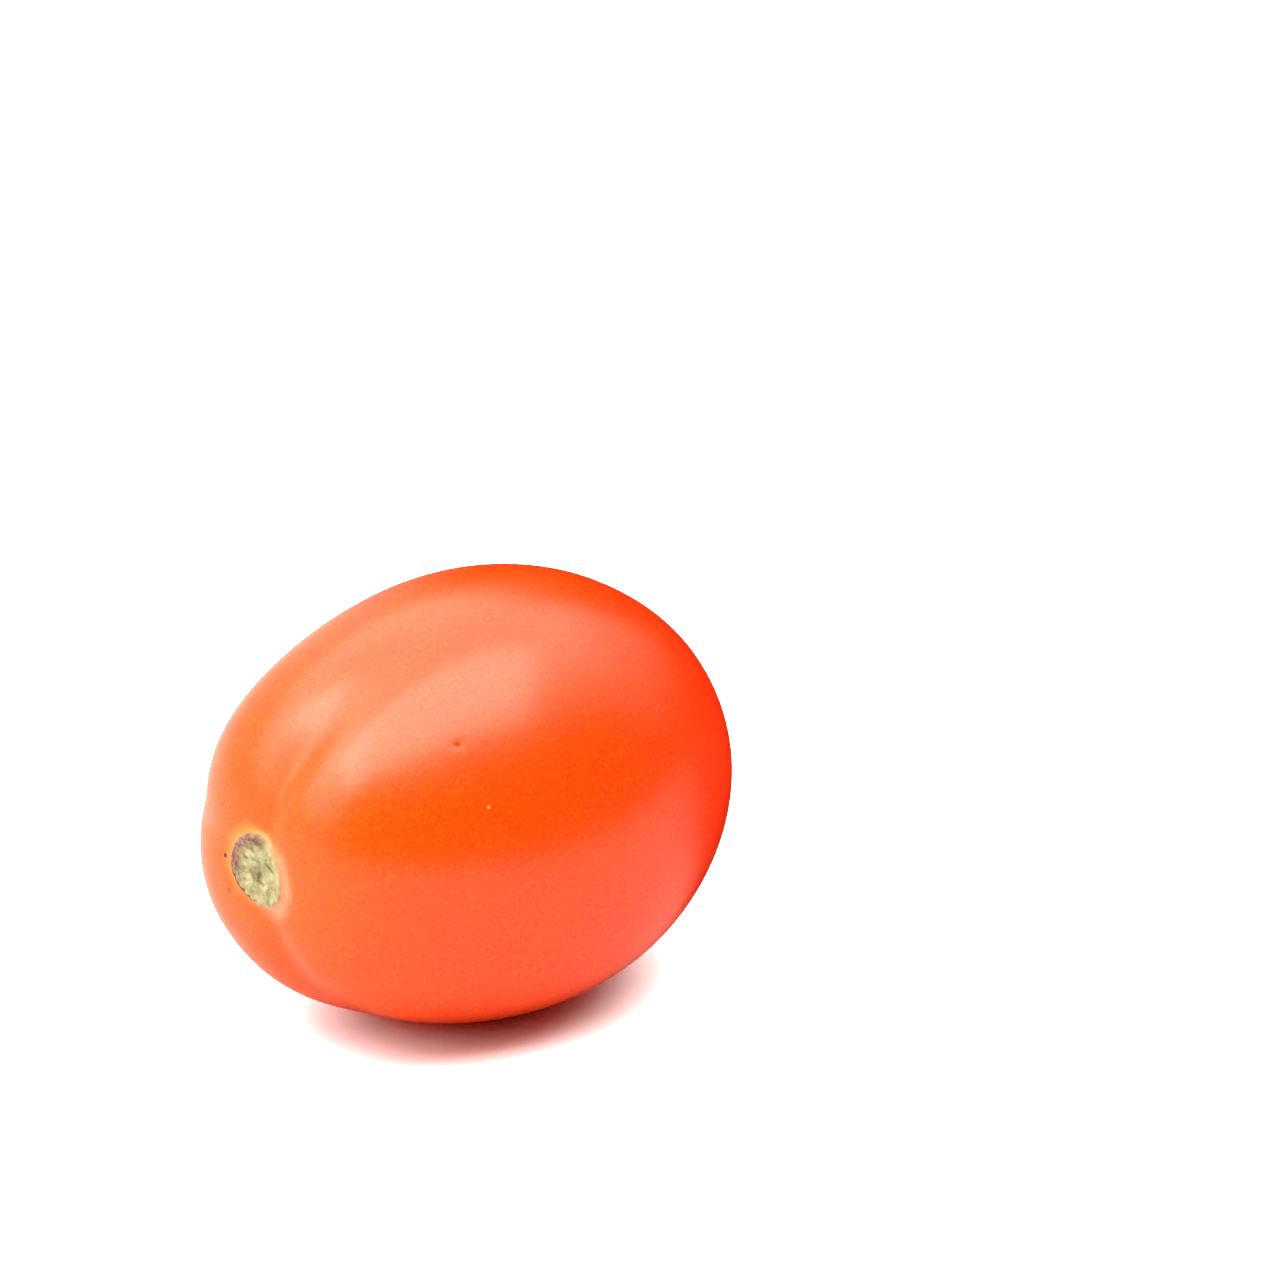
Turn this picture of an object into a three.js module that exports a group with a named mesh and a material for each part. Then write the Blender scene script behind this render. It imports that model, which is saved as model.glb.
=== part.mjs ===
// A ripe plum tomato without its stalk: one grown solid that lies on its side.
// Millimetres, +Z up. The stem scar faces -X and the blossom end faces +X.
// The origin is on the surface that it lies on, under the middle of its box.

import * as THREE from "three";

const DEGREE = Math.PI / 180;

// Driving dimensions of the body
const HALF_LENGTH = 33; // from the middle to either end, before the dips
const HALF_BREADTH = 24.9; // at the widest ring
const END_FULLNESS = 0.146; // both ends are this share blunter than an ellipse
const SHOULDER_FULLNESS = 0.07; // the stem end is blunter by this, the other end less so
const LOBE_HEIGHT = 0.038; // three soft lobes, as a share of the breadth
const LOBE_AT = 90 * DEGREE; // the first lobe's place round the axis, from +Y up to +Z
const BEND_UP = 0.54; // how far both ends lie above the middle
const FLAT_DEPTH = 0.5; // how much of the underside is pressed flat

// Furrows that run out from the stem end, round the axis
const FURROW_PEAK = 28 * DEGREE; // where along the outline they are deepest
const FURROWS = [
  { at: 98 * DEGREE, width: 25 * DEGREE, depth: 1.05 },
  { at: 257 * DEGREE, width: 19 * DEGREE, depth: 0.55 },
  { at: 13 * DEGREE, width: 28 * DEGREE, depth: 0.65 },
];

// The corky scar where the stalk came off, an oval in a shallow dip
const SCAR_HALF_LONG = 4.5;
const SCAR_HALF_SHORT = 3.6;
const SCAR_TURN = 70 * DEGREE; // the long way's direction, from +Y up to +Z
const SCAR_DIP = 1.7; // depth of the dip round the scar
const SCAR_DIP_REACH = 1.9; // in half widths of the scar
const SCAR_RISE = 0.45; // the corky disc stands up in the dip
const SCAR_PIT = 0.5; // and has a small pit at its centre
const SCAR_PIT_REACH = 0.3;

// The dimple with a dried point at the blossom end
const BLOSSOM_DIP = 0.9;
const BLOSSOM_DIP_REACH = 2.6;
const BLOSSOM_POINT = 0.5;
const BLOSSOM_POINT_REACH = 0.7;

// Facets
const SIDES = 80;
const RINGS = 52;
const RING_CROWDING = 0.76; // rings lie closer together near both ends
const OVAL_RINGS_UNTIL = 30 * DEGREE; // rings near the scar follow its oval

function bell(distance, reach) {
  return Math.exp(-((distance / reach) ** 2));
}

function ease(from, to, value) {
  return THREE.MathUtils.smoothstep(value, from, to);
}

function turnBetween(a, b) {
  const turn = (a - b) % (2 * Math.PI);
  return Math.abs(turn) > Math.PI ? 2 * Math.PI - Math.abs(turn) : Math.abs(turn);
}

// Distance from the axis in half widths of the scar's oval: 1 on its rim
function scarDistance(y, z) {
  const long = y * Math.cos(SCAR_TURN) + z * Math.sin(SCAR_TURN);
  const short = z * Math.cos(SCAR_TURN) - y * Math.sin(SCAR_TURN);
  return Math.hypot(long / SCAR_HALF_LONG, short / SCAR_HALF_SHORT);
}

// How far the surface stands above the plain body, along its normal
function relief(along, round) {
  const reach = (along / FURROW_PEAK) ** 2;
  const fade = reach * Math.exp(1 - reach);
  let height = 0;
  for (const furrow of FURROWS) {
    height -= furrow.depth * fade * bell(turnBetween(round, furrow.at), furrow.width);
  }
  return height;
}

// How far the two ends are sunk in, along the axis
function stemDip(y, z) {
  const q = scarDistance(y, z);
  const disc = SCAR_RISE * (1 - ease(0.85, 1.15, q));
  return SCAR_DIP * bell(q, SCAR_DIP_REACH) - disc + SCAR_PIT * bell(q, SCAR_PIT_REACH);
}

function blossomDip(y, z) {
  const r = Math.hypot(y, z);
  return BLOSSOM_DIP * bell(r, BLOSSOM_DIP_REACH) - BLOSSOM_POINT * bell(r, BLOSSOM_POINT_REACH);
}

// A point of the skin: along runs from 0 at the stem to PI at the blossom end
function skinPoint(along, round) {
  const c = Math.cos(along);
  const s = Math.sin(along);
  const lobes = 1 + LOBE_HEIGHT * s * s * Math.cos(3 * (round - LOBE_AT));
  const fullness = 1 + SHOULDER_FULLNESS * c ** 3 + END_FULLNESS * c ** 4;
  const normal = new THREE.Vector2(-c / HALF_LENGTH, s / HALF_BREADTH).normalize();
  const height = relief(along, round);
  const radius = HALF_BREADTH * s * fullness * lobes + height * normal.y;
  const y = radius * Math.cos(round);
  const z = radius * Math.sin(round);
  const dip = c > 0 ? stemDip(y, z) : -blossomDip(y, z);
  const x = -HALF_LENGTH * c + height * normal.x + dip;
  return new THREE.Vector3(x, y, z + BEND_UP * c * c);
}

// A ring's place along the outline, drawn towards the scar's oval near the stem
function ringAlong(index, round) {
  const u = index / RINGS;
  const along = Math.PI * (u - (RING_CROWDING * Math.sin(2 * Math.PI * u)) / (2 * Math.PI));
  const oval = 1 / scarDistance(Math.cos(round), Math.sin(round));
  const mean = Math.sqrt(SCAR_HALF_LONG * SCAR_HALF_SHORT);
  const share = 1 - ease(0, OVAL_RINGS_UNTIL, along);
  return along * (1 + share * (oval / mean - 1));
}

// The closed skin: one point at each end and rings between them
function skinGeometry() {
  const points = [skinPoint(0, 0)];
  for (let ring = 1; ring < RINGS; ring += 1) {
    for (let side = 0; side < SIDES; side += 1) {
      const round = (2 * Math.PI * side) / SIDES;
      points.push(skinPoint(ringAlong(ring, round), round));
    }
  }
  points.push(skinPoint(Math.PI, 0));
  const last = points.length - 1;
  const at = (ring, side) => 1 + (ring - 1) * SIDES + (side % SIDES);
  const faces = [];
  for (let side = 0; side < SIDES; side += 1) {
    faces.push(0, at(1, side + 1), at(1, side));
    faces.push(last, at(RINGS - 1, side), at(RINGS - 1, side + 1));
    for (let ring = 1; ring < RINGS - 1; ring += 1) {
      faces.push(at(ring, side), at(ring, side + 1), at(ring + 1, side + 1));
      faces.push(at(ring, side), at(ring + 1, side + 1), at(ring + 1, side));
    }
  }
  return settle(new THREE.BufferGeometry().setFromPoints(points).setIndex(faces));
}

// Press the underside flat and bring that flat to z = 0, with the box over the origin
function settle(geometry) {
  const place = geometry.attributes.position;
  geometry.computeBoundingBox();
  const floor = geometry.boundingBox.min.z + FLAT_DEPTH;
  for (let i = 0; i < place.count; i += 1) {
    place.setZ(i, Math.max(place.getZ(i), floor));
  }
  const middle = geometry.boundingBox.getCenter(new THREE.Vector3());
  geometry.translate(-middle.x, -middle.y, -floor);
  geometry.computeVertexNormals();
  return geometry;
}

function tomato() {
  const skin = new THREE.MeshStandardMaterial({ color: 0xe8501e, roughness: 0.3, metalness: 0 });
  const fruit = new THREE.Mesh(skinGeometry(), skin);
  fruit.name = "tomato";
  return fruit;
}

const part = new THREE.Group();
part.add(tomato());

export default part;
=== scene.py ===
import math

import bpy
import numpy as np
from mathutils import Matrix, Vector, noise


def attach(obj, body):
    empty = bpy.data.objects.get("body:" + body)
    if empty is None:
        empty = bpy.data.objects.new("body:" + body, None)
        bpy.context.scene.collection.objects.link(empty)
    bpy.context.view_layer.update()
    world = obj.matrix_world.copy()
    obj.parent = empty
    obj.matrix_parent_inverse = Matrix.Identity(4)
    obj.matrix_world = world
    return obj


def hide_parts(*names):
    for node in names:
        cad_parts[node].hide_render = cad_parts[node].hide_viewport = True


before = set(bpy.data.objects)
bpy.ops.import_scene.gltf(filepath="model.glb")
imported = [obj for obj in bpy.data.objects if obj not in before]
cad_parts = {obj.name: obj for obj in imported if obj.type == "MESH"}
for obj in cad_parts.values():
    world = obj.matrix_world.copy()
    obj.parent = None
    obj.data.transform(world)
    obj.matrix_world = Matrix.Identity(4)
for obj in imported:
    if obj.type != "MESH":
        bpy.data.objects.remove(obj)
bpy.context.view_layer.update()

# A ripe plum tomato without its stalk, lying on its side.
# Shapes are worked out in millimetres, with the fruit's middle at the origin, +Z up,
# the stem scar facing -X and the blossom end facing +X. Blender gets metres.

MM = 0.001
DEGREE = math.pi / 180
NOISE_SHIFT = 11  # moves every noise in the shape off the origin

# The body, as in the part's source
HALF_LENGTH = 33.0
HALF_BREADTH = 24.9
END_FULLNESS = 0.146
SHOULDER_FULLNESS = 0.07
LOBES = 3
LOBE_HEIGHT = 0.038
LOBE_AT = 90 * DEGREE
BEND_UP = 0.54
FLAT_DEPTH = 0.5
FURROW_PEAK = 28 * DEGREE
FURROWS = [
    # place round the axis, width, depth
    (98 * DEGREE, 25 * DEGREE, 1.05),
    (257 * DEGREE, 19 * DEGREE, 0.55),
    (13 * DEGREE, 28 * DEGREE, 0.65),
]
SCAR_HALF_LONG = 4.5
SCAR_HALF_SHORT = 3.6
SCAR_TURN = 70 * DEGREE
SCAR_DIP = 1.7
SCAR_DIP_REACH = 1.9
SCAR_RISE = 0.45
SCAR_PIT = 0.5
SCAR_PIT_REACH = 0.3
BLOSSOM_DIP = 0.9
BLOSSOM_DIP_REACH = 2.6
BLOSSOM_POINT = 0.5
BLOSSOM_POINT_REACH = 0.7

# Facets, finer than the part's
SIDES = 384
RINGS = 256
RING_CROWDING = 0.86
OVAL_RINGS_UNTIL = 30 * DEGREE

# Creases in the furrows, narrower and further out than these
CREASE_PEAK = 38 * DEGREE
CREASES = [
    # place round the axis, width, depth
    (101 * DEGREE, 10 * DEGREE, 0.85),
    (258 * DEGREE, 12 * DEGREE, 0.60),
    (10 * DEGREE, 12 * DEGREE, 0.30),
]

# A small sunken mark on the side
MARK_ALONG = 60.3 * DEGREE
MARK_ROUND = 135.1 * DEGREE
MARK_DEPTH = 0.08
MARK_REACH = 0.9 * DEGREE

# The scar's outline swells towards +Y. Distances in the scar count its oval's half widths,
# and directions in it run from its upper end round towards -Y.
SCAR_OUTLINE = 0.95
SCAR_BULGE = 0.33
SCAR_BULGE_SIDE = -78 * DEGREE
SCAR_BULGE_REACH = 40 * DEGREE
DISC_EDGE = (0.94, 1.10)  # from the top of the corky disc to the skin
CORK_RIM_AT = 0.9
CORK_RIM_RISE = 0.15
CORK_RIM_REACH = 0.09
GRAIN_EDGE = (0.90, 1.05)  # where the cork's grain gives way to the skin's waves

# Bumps: height, size of one bump and shift of the noise
SKIN_WAVES = (0.05, 9.0, 21.0)
CORK_GRAIN = (0.16, 0.7, 33.0)
CORK_FINE_GRAIN = (0.08, 0.28, 41.0)
SCAR_HAZE = (0.06, 1.6, 9.0)
POINT_RAGGED = (0.5, 0.5, 3.0)

# Masks that grow to one side of the scar: the direction in it, and the cosines of the turn
# away from that direction at which they are 0 and 1
HALO_SIDE = (-60 * DEGREE, -0.3, 0.9)
FUZZ_SIDE = (130 * DEGREE, 0.0, 0.8)
CRUST_SIDE = (-30 * DEGREE, 0.1, 0.8)
# the side of the painted shade line along the cork's lower rim
PAINTED_RIM_SHADE_SIDE = (-112 * DEGREE, 0.75, 0.98)
HAZE_START = 0.98  # the halo and the fuzz fade outwards from here
HALO_END = 1.20
HALO_STRETCH = 0.24  # how much further out on its own side
FUZZ_END = 1.55
CRUST_LEAST = 0.10
FAR_FROM_SCAR = 4

# The dried point at the blossom end is a ragged star
POINT_RADIUS = 0.50
POINT_RAYS = 5
POINT_RAY_LENGTH = 0.16
POINT_EDGE = (0.8, 1.3)
POINT_HALO = 0.3
POINT_HALO_REACH = 1.8

# Dark dried strands in the cork
STRANDS = [
    # start and end in half widths of the oval, up and towards -Y, half width, strength
    ((-0.09, -0.16), (-0.15, -0.17), 0.075, 1.0),
    ((0.14, 0.40), (0.03, 0.58), 0.05, 0.9),
    ((0.03, 0.58), (-0.06, 0.64), 0.05, 0.8),
    ((-0.22, -0.26), (-0.37, 0.0), 0.04, 0.75),
    ((0.18, -0.72), (0.14, -0.68), 0.07, 0.6),
    ((0.33, -0.22), (0.22, 0.0), 0.05, 0.55),
    ((-0.12, -0.77), (-0.15, -0.74), 0.05, 0.6),
    ((0.02, -0.43), (-0.16, -0.36), 0.05, 0.5),
    ((0.62, -0.25), (0.52, -0.04), 0.04, 0.6),
    ((0.70, 0.12), (0.66, 0.30), 0.06, 0.9),
    ((0.44, -0.52), (0.38, -0.42), 0.06, 0.8),
    ((0.08, 0.16), (0.0, 0.24), 0.05, 0.45),
    ((-0.52, 0.56), (-0.60, 0.52), 0.05, 0.35),
    ((-0.80, -0.05), (-0.86, 0.08), 0.06, 0.45),
]


def bell(distance, reach):
    return np.exp(-((distance / reach) ** 2))


def ease(low, high, value):
    share = np.clip((value - low) / (high - low), 0, 1)
    return share * share * (3 - 2 * share)


def turn_between(a, b):
    return np.abs((a - b + math.pi) % (2 * math.pi) - math.pi)


def bumps(points, height, size, shift):
    """Smooth noise at each point, as high as height, with bumps about size wide."""
    scaled = points / size + NOISE_SHIFT + shift
    return height * np.array([noise.noise(Vector(point)) for point in scaled.tolist()])


def scar_frame(y, z):
    """Distance from the axis in half widths of the scar's oval, and the direction in it."""
    long = (y * math.cos(SCAR_TURN) + z * math.sin(SCAR_TURN)) / SCAR_HALF_LONG
    short = (z * math.cos(SCAR_TURN) - y * math.sin(SCAR_TURN)) / SCAR_HALF_SHORT
    return np.hypot(long, short), np.arctan2(short, long)


def scar_distance(y, z):
    """Like scar_frame, with the distance 1 on the outline that swells to one side."""
    q, turn = scar_frame(y, z)
    swelling = SCAR_BULGE * bell(turn_between(turn, SCAR_BULGE_SIDE), SCAR_BULGE_REACH)
    return q / (SCAR_OUTLINE + swelling), turn


def grooves(along, around, peak, lines):
    """The depth of grooves that run out from the stem end, deepest at peak."""
    reach = (along / peak) ** 2
    fade = reach * np.exp(1 - reach)
    return sum(depth * fade * bell(turn_between(around, at), width) for at, width, depth in lines)


def relief(along, around):
    """How far the skin stands above the plain body, along its normal."""
    height = -grooves(along, around, FURROW_PEAK, FURROWS)
    height -= grooves(along, around, CREASE_PEAK, CREASES)
    aside = turn_between(around, MARK_ROUND) * np.sin(along)
    height -= MARK_DEPTH * bell(np.hypot(along - MARK_ALONG, aside), MARK_REACH)
    return height


def stem_dip(y, z):
    q, _ = scar_frame(y, z)
    wide, _ = scar_distance(y, z)
    disc = SCAR_RISE * (1 - ease(*DISC_EDGE, wide))
    rim = CORK_RIM_RISE * bell(wide - CORK_RIM_AT, CORK_RIM_REACH)
    return SCAR_DIP * bell(q, SCAR_DIP_REACH) - disc - rim + SCAR_PIT * bell(q, SCAR_PIT_REACH)


def blossom_dip(y, z):
    r = np.hypot(y, z)
    return BLOSSOM_DIP * bell(r, BLOSSOM_DIP_REACH) - BLOSSOM_POINT * bell(r, BLOSSOM_POINT_REACH)


def skin_points(along, around):
    """The skin's points for arrays of places along the outline and round the axis."""
    c = np.cos(along)
    s = np.sin(along)
    lobes = 1 + LOBE_HEIGHT * s * s * np.cos(LOBES * (around - LOBE_AT))
    fullness = 1 + SHOULDER_FULLNESS * c**3 + END_FULLNESS * c**4
    normal_x = -c / HALF_LENGTH
    normal_r = s / HALF_BREADTH
    length = np.hypot(normal_x, normal_r)
    height = relief(along, around)
    radius = HALF_BREADTH * s * fullness * lobes + height * normal_r / length
    y = radius * np.cos(around)
    z = radius * np.sin(around)
    dip = np.where(c > 0, stem_dip(y, z), -blossom_dip(y, z))
    x = -HALF_LENGTH * c + height * normal_x / length + dip
    return np.stack([x, y, z + BEND_UP * c * c], axis=1)


def skin_point(along, around):
    """The one point at a place along the outline and round the axis."""
    return skin_points(np.array([along]), np.array([around]))[0]


def vertex_places():
    """Every vertex's place along the outline and round the axis: the two ends come last."""
    u = np.arange(1, RINGS) / RINGS
    along = math.pi * (u - RING_CROWDING * np.sin(2 * math.pi * u) / (2 * math.pi))
    around = 2 * math.pi * np.arange(SIDES) / SIDES
    along, around = [grid.ravel() for grid in np.meshgrid(along, around, indexing="ij")]
    oval = 1 / scar_frame(np.cos(around), np.sin(around))[0]
    mean = math.sqrt(SCAR_HALF_LONG * SCAR_HALF_SHORT)
    share = 1 - ease(0, OVAL_RINGS_UNTIL, along)
    along = along * (1 + share * (oval / mean - 1))
    return np.append(along, [0, math.pi]), np.append(around, [0, 0])


def faces():
    """Quads between the rings and a fan of triangles at each end."""
    found = []
    stem = (RINGS - 1) * SIDES
    blossom = stem + 1
    last = (RINGS - 2) * SIDES
    for side in range(SIDES):
        after = (side + 1) % SIDES
        found.append((stem, after, side))
        found.append((blossom, last + side, last + after))
        for ring in range(RINGS - 2):
            here = ring * SIDES
            there = here + SIDES
            found.append((here + side, here + after, there + after, there + side))
    return found


def one_sided(turn, side):
    """A mask that grows to one side of the scar."""
    direction, low, high = side
    return ease(low, high, np.cos(turn - direction))


def strands_at(y, z):
    """The dark dried strands in the cork, from 0 to 1."""
    q, turn = scar_frame(y, z)
    u = q * np.cos(turn)
    v = q * np.sin(turn)
    marks = np.zeros_like(y)
    for (start_u, start_v), (end_u, end_v), half_width, strength in STRANDS:
        run_u = end_u - start_u
        run_v = end_v - start_v
        share = ((u - start_u) * run_u + (v - start_v) * run_v) / (run_u**2 + run_v**2)
        share = np.clip(share, 0, 1)
        distance = np.hypot(u - start_u - share * run_u, v - start_v - share * run_v)
        marks = np.maximum(marks, strength * bell(distance, half_width))
    return marks


def masks(points, along, around):
    """Where the skin changes: one value for each vertex and each mask."""
    y = points[:, 1]
    z = points[:, 2] - BEND_UP
    stem_half = along < math.pi / 2
    wide, turn = scar_distance(y, z)
    hazy = wide + bumps(points, *SCAR_HAZE)
    halo_end = HALO_END + HALO_STRETCH * one_sided(turn, HALO_SIDE)
    halo = 1 - ease(HAZE_START, halo_end, hazy)
    fuzz = (1 - ease(HAZE_START, FUZZ_END, hazy)) * one_sided(turn, FUZZ_SIDE)
    radius = np.hypot(y, z)
    rays = POINT_RADIUS + POINT_RAY_LENGTH * np.cos(POINT_RAYS * around)
    dried = 1 - ease(*POINT_EDGE, radius / rays + bumps(points, *POINT_RAGGED))
    point_halo = POINT_HALO * bell(radius, POINT_HALO_REACH)
    return {
        "scar": np.where(stem_half, np.minimum(wide, FAR_FROM_SCAR), FAR_FROM_SCAR),
        "halo": np.where(stem_half, halo, point_halo),
        "fuzz": np.where(stem_half, fuzz, 0),
        "crust": CRUST_LEAST + (1 - CRUST_LEAST) * one_sided(turn, CRUST_SIDE),
        # painted shade: a dark line along the cork's lower rim
        "painted_rim_shade": one_sided(turn, PAINTED_RIM_SHADE_SIDE),
        "strands": np.where(stem_half, strands_at(y, z), 0),
        "dried": np.where(stem_half, 0, dried),
        "ripeness": along / math.pi,
    }


def rough_skin(points, along):
    """Faint waves over the skin and grain on the cork, moved along the body's normal."""
    wide, _ = scar_distance(points[:, 1], points[:, 2] - BEND_UP)
    on_cork = np.where(along < math.pi / 2, 1 - ease(*GRAIN_EDGE, wide), 0)
    grain = bumps(points, *CORK_GRAIN) + bumps(points, *CORK_FINE_GRAIN)
    height = bumps(points, *SKIN_WAVES) * (1 - on_cork) + grain * on_cork
    normal = points / np.array([HALF_LENGTH, HALF_BREADTH, HALF_BREADTH]) ** 2
    normal /= np.linalg.norm(normal, axis=1, keepdims=True)
    return points + normal * height[:, None]


def make_mesh():
    """The fruit's mesh with its masks, and how far its middle lies from the row's origin."""
    along, around = vertex_places()
    points = skin_points(along, around)
    values = masks(points, along, around)
    points = rough_skin(points, along)
    floor = points[:, 2].min() + FLAT_DEPTH
    points[:, 2] = np.maximum(points[:, 2], floor)
    low = points.min(axis=0)
    high = points.max(axis=0)
    shift = np.array([-(low[0] + high[0]) / 2, -(low[1] + high[1]) / 2, -floor])
    mesh = bpy.data.meshes.new("tomato_fruit")
    mesh.from_pydata(((points + shift) * MM).tolist(), [], faces())
    mesh.shade_smooth()
    for name, value in values.items():
        mask = mesh.attributes.new(name, "FLOAT", "POINT")
        mask.data.foreach_set("value", value.astype(np.float32))
    return mesh, shift


def add_object(name, data):
    made = bpy.data.objects.new(name, data)
    bpy.context.scene.collection.objects.link(made)
    return made


class Nodes:
    """Short calls for building a node tree."""

    def __init__(self, tree):
        self.tree = tree
        self.tree.nodes.clear()

    def add(self, kind, **settings):
        node = self.tree.nodes.new(kind)
        for name, value in settings.items():
            setattr(node, name, value)
        return node

    def join(self, source, target):
        self.tree.links.new(source, target)

    def value(self, source, socket):
        if isinstance(source, (int, float)):
            socket.default_value = source
        elif isinstance(source, tuple):
            socket.default_value = (*source, 1)
        else:
            self.join(source, socket)

    def mask(self, name):
        return self.add("ShaderNodeAttribute", attribute_name=name).outputs["Fac"]

    def place(self):
        return self.add("ShaderNodeTexCoord").outputs["Object"]

    def math(self, operation, a, b=0.0, clamp=False):
        node = self.add("ShaderNodeMath", operation=operation, use_clamp=clamp)
        self.value(a, node.inputs[0])
        self.value(b, node.inputs[1])
        return node.outputs[0]

    def times(self, a, b):
        return self.math("MULTIPLY", a, b)

    def around_zero(self, source, height):
        """Noise from 0 to 1, moved to lie round zero and made as high as height."""
        return self.times(self.math("SUBTRACT", source, 0.5), height)

    def mix(self, factor, a, b, blend="MIX"):
        node = self.add("ShaderNodeMix", data_type="RGBA", blend_type=blend)
        self.value(factor, node.inputs["Factor"])
        self.value(a, node.inputs["A"])
        self.value(b, node.inputs["B"])
        return node.outputs["Result"]

    def span(self, source, low, high, to_low=0.0, to_high=1.0):
        """A smooth step: to_low where the source is at low, to_high where it is at high."""
        node = self.add("ShaderNodeMapRange", interpolation_type="SMOOTHSTEP")
        self.value(source, node.inputs["Value"])
        self.value(low, node.inputs["From Min"])
        self.value(high, node.inputs["From Max"])
        self.value(to_low, node.inputs["To Min"])
        self.value(to_high, node.inputs["To Max"])
        return node.outputs["Result"]

    def noise(self, place, size_mm, detail=2.0, roughness=0.5):
        node = self.add("ShaderNodeTexNoise")
        self.join(place, node.inputs["Vector"])
        self.value(1 / (size_mm * MM), node.inputs["Scale"])
        self.value(detail, node.inputs["Detail"])
        self.value(roughness, node.inputs["Roughness"])
        return node.outputs["Fac"]

    def cells(self, place, size_mm):
        """The distance from each cell's middle, in cells, and a colour for each cell."""
        node = self.add("ShaderNodeTexVoronoi")
        self.join(place, node.inputs["Vector"])
        self.value(1 / (size_mm * MM), node.inputs["Scale"])
        return node.outputs["Distance"], node.outputs["Color"]

    def vector(self, operation, source, constant):
        node = self.add("ShaderNodeVectorMath", operation=operation)
        self.join(source, node.inputs[0])
        node.inputs[1].default_value = tuple(constant)
        return node

    def distance(self, place, centre):
        return self.vector("DISTANCE", place, centre).outputs["Value"]

    def ramp(self, source, stops):
        node = self.add("ShaderNodeValToRGB")
        elements = node.color_ramp.elements
        while len(elements) < len(stops):
            elements.new(0.5)
        for element, (position, colour) in zip(elements, stops):
            element.position = position
            element.color = (*colour, 1)
        self.join(source, node.inputs["Fac"])
        return node.outputs["Color"]

    def mix_shader(self, factor, a, b):
        node = self.add("ShaderNodeMixShader")
        self.join(factor, node.inputs["Fac"])
        self.join(a, node.inputs[1])
        self.join(b, node.inputs[2])
        return node.outputs["Shader"]

    def finish(self, shader, output="ShaderNodeOutputMaterial"):
        self.join(shader, self.add(output).inputs["Surface"])


def new_material(name):
    material = bpy.data.materials.new(name)
    material.use_nodes = True
    return material, Nodes(material.node_tree)


# Skin colours from the stem end to the ripest part; the darker red towards the ripe end is partly
# painted shade. Below, sizes are in millimetres, and a tuple of four is a smooth step: two values
# of the source, then the two that they turn into.
SKIN_STOPS = [
    (0.00, (0.82, 0.106, 0.0020)),
    (0.08, (0.82, 0.090, 0.0015)),
    (0.14, (0.82, 0.078, 0.0008)),
    (0.23, (0.82, 0.066, 0.0004)),
    (0.48, (0.80, 0.049, 0.0003)),
    (0.70, (0.74, 0.031, 0.0003)),
    (1.00, (0.62, 0.011, 0.0003)),
]
DRIFT_SIZE = 11.0
DRIFT = 0.12  # of the ripeness
MOTTLE_SIZE = 0.40
MOTTLE_STEP = (0.25, 0.75, 0.9, 0.0)
MOTTLE_TINT = (1.0, 0.62, 0.60)
SPECK_CELL = 5.0  # at most one speck in each cell
SPECK_SHUFFLE = 7.0
SPECK_CHOICE = (0.55, 0.60, 0.0, 1.0)  # fewer than half of the cells have one
SPECK_STEP = (0.02, 0.045, 0.45, 0.0)
SPECK_COLOUR = (0.30, 0.02, 0.0005)
HALO_STRENGTH = 0.8
HALO_COLOUR = (0.84, 0.215, 0.028)
FUZZ_STRENGTH = 0.6
FUZZ_COLOUR = (0.84, 0.36, 0.24)
SPOT_CORE = 0.7  # share of a spot's radius inside its soft edge
SPOTS = [
    # degrees along the outline and round the axis, radius, strength, colour
    # the sunken mark: a painted highlight on its pale lower lip, and a reddish dash
    (60.7, 137.2, 0.42, 0.20, (0.84, 0.12, 0.05)),
    (59.7, 134.6, 0.26, 0.9, (0.33, 0.036, 0.0003)),
    (60.3, 135.1, 0.30, 1.0, (0.29, 0.031, 0.0003)),
    (60.9, 135.7, 0.26, 0.9, (0.33, 0.036, 0.0003)),
    # a pale dot with a darker ring
    (61.2, 155.3, 0.38, 0.5, (0.50, 0.05, 0.01)),
    (61.2, 155.3, 0.24, 1.0, (0.80, 0.20, 0.09)),
    # two dark dots beside the scar
    (11.9, 359.5, 0.34, 1.0, (0.03, 0.008, 0.006)),
    (12.8, 324.5, 0.24, 0.8, (0.05, 0.015, 0.01)),
    # faint specks on the side
    (87.8, 187.7, 0.45, 0.3, (0.40, 0.04, 0.01)),
    (84.9, 190.5, 0.35, 0.3, (0.40, 0.04, 0.01)),
    (54.0, 127.0, 0.40, 0.3, (0.42, 0.08, 0.04)),
]

# The cork, its crust at the upper rim, a painted shade line along its lower rim, and its edge
CORK_STOPS = [
    (0.34, (0.20, 0.170, 0.080)),
    (0.50, (0.34, 0.295, 0.158)),
    (0.66, (0.45, 0.410, 0.255)),
]
CORK_CLOUD_SIZE = 1.5
STRAND_COLOUR = (0.10, 0.06, 0.02)
CRUST_COLOUR = (0.27, 0.150, 0.118)
CRUST_SPECK_COLOUR = (0.11, 0.050, 0.036)
CRUST_SPECK_SIZE = 0.35
CRUST_SPECK_STEP = (0.42, 0.60, 0.0, 0.9)
CRUST_STEP = (0.58, 0.80, 0.0, 0.95)
# A painted shade line along the cork's lower rim
PAINTED_RIM_SHADE_AT = 0.92
PAINTED_RIM_SHADE_STEP = (0.02, 0.06, 0.95, 0.0)
PAINTED_RIM_SHADE_COLOUR = (0.05, 0.025, 0.01)
EDGE_RAGGED = 0.16
EDGE_RAGGED_SIZE = 0.7
EDGE_STEP = (0.97, 1.03, 1.0, 0.0)
DRIED_STRENGTH = 0.9
DRIED_COLOUR = (0.08, 0.028, 0.010)

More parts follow.
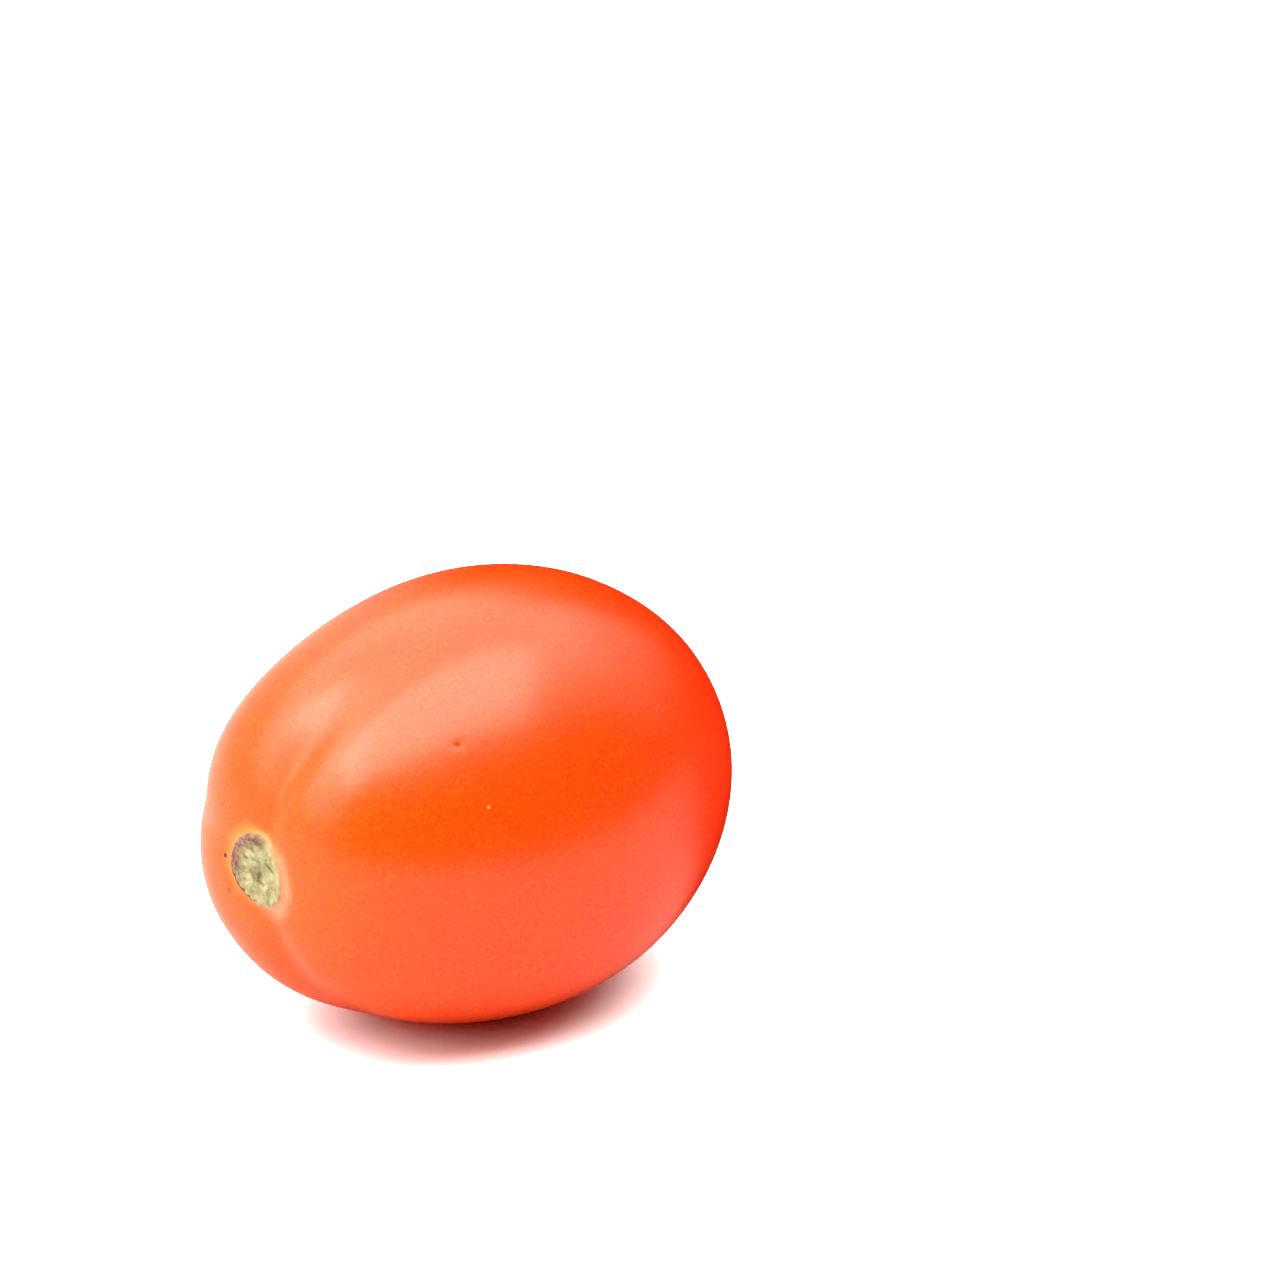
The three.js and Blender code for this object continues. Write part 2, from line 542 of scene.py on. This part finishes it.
# Gloss, translucence and the finest bumps
ROUGHNESS_STEP = (0.0, 1.0, 0.25, 0.70)  # from the skin to what is matt
IOR = 1.45
MARK_GLOSS_STEP = (0.25 * MM, 0.55 * MM, 0.15, 0.50)
SUBSURFACE_WEIGHT = 0.5
SUBSURFACE_RADIUS = (1.0, 0.12, 0.05)
SUBSURFACE_SCALE = 10.0
PEEL_SIZE = 0.7
PEEL_HEIGHT = 0.004
CORK_BUMP_SIZE = 0.3
CORK_BUMP_HEIGHT = 0.22


def skin_colour(n, place, shift):
    """Orange at the stem end to red at the blossom end, mottled, with specks and spots, one of
    them a painted highlight.
    """
    drift = n.around_zero(n.noise(place, DRIFT_SIZE), DRIFT)
    # the ramp's darker red towards the blossom end is partly painted shade
    colour = n.ramp(n.math("ADD", n.mask("ripeness"), drift, clamp=True), SKIN_STOPS)
    mottle = n.span(n.noise(place, MOTTLE_SIZE), *MOTTLE_STEP)
    colour = n.mix(mottle, colour, n.mix(1.0, colour, MOTTLE_TINT, blend="MULTIPLY"))
    distance, chance = n.cells(place, SPECK_CELL)
    chosen = n.span(n.math("FRACT", n.times(chance, SPECK_SHUFFLE)), *SPECK_CHOICE)
    colour = n.mix(n.times(n.span(distance, *SPECK_STEP), chosen), colour, SPECK_COLOUR)
    colour = n.mix(n.times(n.mask("halo"), HALO_STRENGTH), colour, HALO_COLOUR)
    colour = n.mix(n.times(n.mask("fuzz"), FUZZ_STRENGTH), colour, FUZZ_COLOUR)
    for along, around, radius, strength, spot in SPOTS:
        centre = skin_point(along * DEGREE, around * DEGREE) + shift
        distance = n.distance(place, centre * MM)
        cover = n.span(distance, SPOT_CORE * radius * MM, radius * MM, strength, 0.0)
        colour = n.mix(cover, colour, spot)
    return colour


def ragged_scar(n, place):
    """The distance from the scar's middle, 1 on its ragged edge."""
    ragged = n.noise(place, EDGE_RAGGED_SIZE, detail=3.0)
    return n.math("ADD", n.mask("scar"), n.around_zero(ragged, EDGE_RAGGED))


def cork_colour(n, place, scar):
    """Greenish cream with dark dried strands, and a mauve brown crust at the upper rim."""
    colour = n.ramp(n.noise(place, CORK_CLOUD_SIZE, detail=5.0, roughness=0.62), CORK_STOPS)
    speckled = n.span(n.noise(place, CRUST_SPECK_SIZE, detail=3.0), *CRUST_SPECK_STEP)
    crust = n.mix(speckled, CRUST_COLOUR, CRUST_SPECK_COLOUR)
    colour = n.mix(n.times(n.mask("crust"), n.span(scar, *CRUST_STEP)), colour, crust)
    return n.mix(n.mask("strands"), colour, STRAND_COLOUR)


def skin_bumps(n, place, cork):
    """Orange peel on the skin and coarse grain on the cork."""
    bump = n.add("ShaderNodeBump")
    bump.inputs["Strength"].default_value = 1.0
    bump.inputs["Distance"].default_value = MM
    peel = n.times(n.noise(place, PEEL_SIZE, detail=1.0), PEEL_HEIGHT)
    grain = n.times(n.noise(place, CORK_BUMP_SIZE, detail=4.0, roughness=0.7), CORK_BUMP_HEIGHT)
    n.join(n.mix(cork, peel, grain), bump.inputs["Height"])
    return bump.outputs["Normal"]


def skin_material(shift):
    """Waxy skin with its cork scar and its dried blossom point."""
    material, n = new_material("tomato_skin")
    place = n.place()
    scar = ragged_scar(n, place)
    cork = n.span(scar, *EDGE_STEP)
    dried = n.mask("dried")
    colour = n.mix(cork, skin_colour(n, place, shift), cork_colour(n, place, scar))
    # A dark line painted along the cork's lower rim, where shade falls
    from_painted_rim_shade = n.math("ABSOLUTE", n.math("SUBTRACT", scar, PAINTED_RIM_SHADE_AT))
    painted_rim_shade = n.times(n.mask("painted_rim_shade"), n.span(from_painted_rim_shade, *PAINTED_RIM_SHADE_STEP))
    colour = n.mix(painted_rim_shade, colour, PAINTED_RIM_SHADE_COLOUR)
    colour = n.mix(n.times(dried, DRIED_STRENGTH), colour, DRIED_COLOUR)
    matt = n.math("MAXIMUM", cork, dried)
    from_mark = n.distance(place, (skin_point(MARK_ALONG, MARK_ROUND) + shift) * MM)
    shader = n.add("ShaderNodeBsdfPrincipled")
    n.join(colour, shader.inputs["Base Color"])
    n.join(n.span(matt, *ROUGHNESS_STEP), shader.inputs["Roughness"])
    n.join(n.span(from_mark, *MARK_GLOSS_STEP), shader.inputs["Specular IOR Level"])
    shader.inputs["IOR"].default_value = IOR
    shader.inputs["Subsurface Weight"].default_value = SUBSURFACE_WEIGHT
    shader.inputs["Subsurface Radius"].default_value = SUBSURFACE_RADIUS
    shader.inputs["Subsurface Scale"].default_value = SUBSURFACE_SCALE * MM
    n.join(skin_bumps(n, place, cork), shader.inputs["Normal"])
    n.finish(shader.outputs["BSDF"])
    return material


def make_fruit():
    """The fruit. Returns its middle in the row frame."""
    mesh, shift = make_mesh()
    fruit = add_object("tomato_fruit", mesh)
    mesh.materials.append(skin_material(shift))
    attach(fruit, "root")
    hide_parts("tomato")
    return Vector(shift) * MM


# The camera, as the photograph was taken
VIEW_AZIMUTH = 44.72 * DEGREE  # from +X towards +Y
VIEW_ELEVATION = 21 * DEGREE
VIEW_DISTANCE = 700.0
PHOTO_SIDE = 1280
PHOTO_MM_PER_PIXEL = 0.112  # at the fruit's middle
MIDDLE_IN_PHOTO = (470.3, 796.6)  # the pixel where the fruit's middle lies
SENSOR = 36.0
CLIP_START = 0.01  # metres

# Level directions as the camera sees them, and up
FORWARD = Vector((math.cos(VIEW_AZIMUTH), math.sin(VIEW_AZIMUTH), 0))
RIGHT = Vector((math.sin(VIEW_AZIMUTH), -math.cos(VIEW_AZIMUTH), 0))
UP = Vector((0, 0, 1))


def toward(azimuth, elevation):
    """A direction, with the azimuth from the camera's forward to its right, in degrees."""
    level = FORWARD * math.cos(azimuth * DEGREE) + RIGHT * math.sin(azimuth * DEGREE)
    return level * math.cos(elevation * DEGREE) + UP * math.sin(elevation * DEGREE)


def make_camera(middle):
    """middle is the fruit's middle in the row frame, here and below."""
    look = toward(0, -VIEW_ELEVATION / DEGREE)
    above = RIGHT.cross(look)
    aside = (MIDDLE_IN_PHOTO[0] - PHOTO_SIDE / 2) * PHOTO_MM_PER_PIXEL * MM
    below = (MIDDLE_IN_PHOTO[1] - PHOTO_SIDE / 2) * PHOTO_MM_PER_PIXEL * MM
    data = bpy.data.cameras.new("camera")
    data.sensor_width = SENSOR
    data.lens = SENSOR * VIEW_DISTANCE / (PHOTO_SIDE * PHOTO_MM_PER_PIXEL)
    data.clip_start = CLIP_START
    camera = add_object("camera", data)
    place = middle - look * VIEW_DISTANCE * MM - RIGHT * aside + above * below
    turn = Matrix((RIGHT, above, -look)).transposed().to_4x4()
    camera.matrix_world = Matrix.Translation(place) @ turn
    bpy.context.scene.camera = camera


# The floor, in metres. The camera sees it brighter than the light that it gives back, so that
# only the shadow shows on white. Near the contact the camera sees a painted red, as if the skin
# lit the floor.
FLOOR_HALF = 4.0
FLOOR_COLOUR = (0.70, 0.70, 0.70)
FLOOR_COLOUR_IN_GLOSS = (0.36, 0.36, 0.36)
FLOOR_COLOUR_SEEN = (1.28, 1.32, 1.48)
PAINTED_CONTACT_RED_SEEN = (2.10, 0.22, 0.10)
CONTACT_REACH = (0.012, 0.010)  # along the fruit and across it
CONTACT_STEP = (0.75, 1.4, 0.0, 1.0)  # in reaches


def floor_material():
    material, n = new_material("floor")
    matt = n.add("ShaderNodeBsdfDiffuse")
    path = n.add("ShaderNodeLightPath")
    given = n.mix(path.outputs["Is Glossy Ray"], FLOOR_COLOUR, FLOOR_COLOUR_IN_GLOSS)
    scaled = n.vector("DIVIDE", n.place(), (*CONTACT_REACH, 1)).outputs["Vector"]
    # painted red shade near the fruit's contact, seen by the camera only
    away = n.span(n.distance(scaled, (0, 0, 0)), *CONTACT_STEP)
    seen = n.mix(away, PAINTED_CONTACT_RED_SEEN, FLOOR_COLOUR_SEEN)
    n.join(n.mix(path.outputs["Is Camera Ray"], given, seen), matt.inputs["Color"])
    n.finish(matt.outputs["BSDF"])
    return material


def make_floor():
    """A pale surface under the fruit, painted red near where the fruit rests."""
    half = FLOOR_HALF
    corners = [(-half, -half, 0), (half, -half, 0), (half, half, 0), (-half, half, 0)]
    mesh = bpy.data.meshes.new("floor")
    mesh.from_pydata(corners, [], [(0, 1, 2, 3)])
    mesh.materials.append(floor_material())
    add_object("floor", mesh)


# A low dark card behind the fruit and to its right, seen only in the skin's gloss
CARD_PROFILE = [
    # distance from the fruit's middle and height in metres, darkness
    (0.016, 0.0005, 0.0),
    (0.024, 0.0005, 0.85),
    (0.034, 0.0005, 1.0),
    (0.110, 0.0005, 1.0),
    (0.110, 0.045, 1.0),
    (0.110, 0.085, 0.0),
]
CARD_FROM = -26  # degrees to the right of straight behind
CARD_TO = 88
CARD_FADING = 25  # degrees over which both ends fade
CARD_STEPS = 50
CARD_LEFT_LIFT = 1.9  # times as high as the profile on the left
CARD_SINKS_BY = 0.9  # towards the right, over these degrees
CARD_SINKS_OVER = (22, 46)


def card_material():
    material, n = new_material("dark_card")
    black = n.add("ShaderNodeBsdfDiffuse")
    black.inputs["Color"].default_value = (0, 0, 0, 1)
    clear = n.add("ShaderNodeBsdfTransparent").outputs["BSDF"]
    n.finish(n.mix_shader(n.mask("darkness"), clear, black.outputs["BSDF"]))
    return material


def make_card(middle):
    ground = Vector((middle.x, middle.y, 0))
    corners = []
    darkness = []
    for step in range(CARD_STEPS + 1):
        azimuth = CARD_FROM + (CARD_TO - CARD_FROM) * step / CARD_STEPS
        edge = min(azimuth - CARD_FROM, CARD_TO - azimuth) / CARD_FADING
        lift = CARD_LEFT_LIFT - CARD_SINKS_BY * float(ease(*CARD_SINKS_OVER, azimuth))
        for distance, height, dark in CARD_PROFILE:
            corner = ground + toward(azimuth, 0) * distance + UP * height * lift
            corners.append(tuple(corner))
            darkness.append(dark * float(ease(0, 1, edge)))
    across = len(CARD_PROFILE)
    strips = []
    for step in range(CARD_STEPS):
        for row in range(across - 1):
            here = step * across + row
            strips.append((here, here + 1, here + 1 + across, here + across))
    mesh = bpy.data.meshes.new("dark_card")
    mesh.from_pydata(corners, [], strips)
    mesh.attributes.new("darkness", "FLOAT", "POINT").data.foreach_set("value", darkness)
    mesh.materials.append(card_material())
    card = add_object("dark_card", mesh)
    card.visible_camera = False
    card.visible_diffuse = False
    card.visible_shadow = False


# The large soft lamp above the fruit, in metres
LAMP_COLOUR = (1.0, 1.0, 0.86)
LAMP_LENGTH = 2.1
LAMP_BREADTH = 0.9
LAMP_RISE = 1.2
LAMP_TOWARD_CAMERA = 0.25  # shares of the rise
LAMP_TO_RIGHT = 0.06
LAMP_RADIANCE = 4.5
LAMP_LIES_TOWARD = 69  # its long way, in degrees to the right of straight behind


def make_lamp(middle):
    data = bpy.data.lights.new("overhead", "AREA")
    data.shape = "RECTANGLE"
    data.size = LAMP_LENGTH
    data.size_y = LAMP_BREADTH
    data.energy = LAMP_RADIANCE * math.pi * LAMP_LENGTH * LAMP_BREADTH
    data.color = LAMP_COLOUR
    lamp = add_object("overhead", data)
    offset = (UP - FORWARD * LAMP_TOWARD_CAMERA + RIGHT * LAMP_TO_RIGHT) * LAMP_RISE
    away = offset.normalized()
    across = away.cross(toward(LAMP_LIES_TOWARD, 0)).normalized()
    turn = Matrix((across.cross(away), across, away)).transposed().to_4x4()
    lamp.matrix_world = Matrix.Translation(middle + offset) @ turn


# The studio's light from all round. Directions are given as toward takes them, and a tuple
# of four is a smooth step, as above, of the cosine of the angle from one of them.
SKY_STEP = (0.40, 0.80, 0.0, 3.1)
FRONT = (165, 0)  # the sky begins higher up over the camera
FRONT_STEP = (0.0, 0.5, 0.0, 0.2)
LEFT_WALL = (-66, 0)
LEFT_WALL_STEP = (-0.1, 0.65, 0.0, 1.0)
LEFT_WALL_FOOT_STEP = (0.0, 0.35, 0.85, 1.0)  # a little dimmer at its foot
LEFT_PATCH = (-112, 42)
LEFT_PATCH_STEP = (0.80, 0.97, 0.0, 2.3)
RIGHT_PATCH = (50, 27)
RIGHT_PATCH_STEP = (0.90, 0.97, 0.0, 1.0)


def make_world():
    """Bright above, white on the left with a brighter patch, and a small patch on the right."""
    world = bpy.data.worlds.new("studio")
    bpy.context.scene.world = world
    world.use_nodes = True
    n = Nodes(world.node_tree)
    way = n.add("ShaderNodeTexCoord").outputs["Generated"]

    def share_toward(direction):
        return n.vector("DOT_PRODUCT", way, direction).outputs["Value"]

    height = share_toward(UP)
    front = n.span(share_toward(toward(*FRONT)), *FRONT_STEP)
    sky = n.span(n.math("SUBTRACT", height, front), *SKY_STEP)
    wall = n.span(share_toward(toward(*LEFT_WALL)), *LEFT_WALL_STEP)
    wall = n.times(wall, n.span(height, *LEFT_WALL_FOOT_STEP))
    left = n.span(share_toward(toward(*LEFT_PATCH)), *LEFT_PATCH_STEP)
    right = n.span(share_toward(toward(*RIGHT_PATCH)), *RIGHT_PATCH_STEP)
    walls = n.math("ADD", n.math("ADD", wall, right), left)
    light = n.add("ShaderNodeBackground")
    light.inputs["Color"].default_value = (*LAMP_COLOUR, 1)
    n.join(n.math("ADD", walls, sky), light.inputs["Strength"])
    seen = n.add("ShaderNodeBackground")
    seen.inputs["Strength"].default_value = 1.0
    by_camera = n.add("ShaderNodeLightPath").outputs["Is Camera Ray"]
    shader = n.mix_shader(by_camera, light.outputs["Background"], seen.outputs["Background"])
    n.finish(shader, "ShaderNodeOutputWorld")


middle = make_fruit()
make_camera(middle)
make_floor()
make_card(middle)
make_world()
make_lamp(middle)
bpy.context.scene.view_settings.view_transform = "Standard"
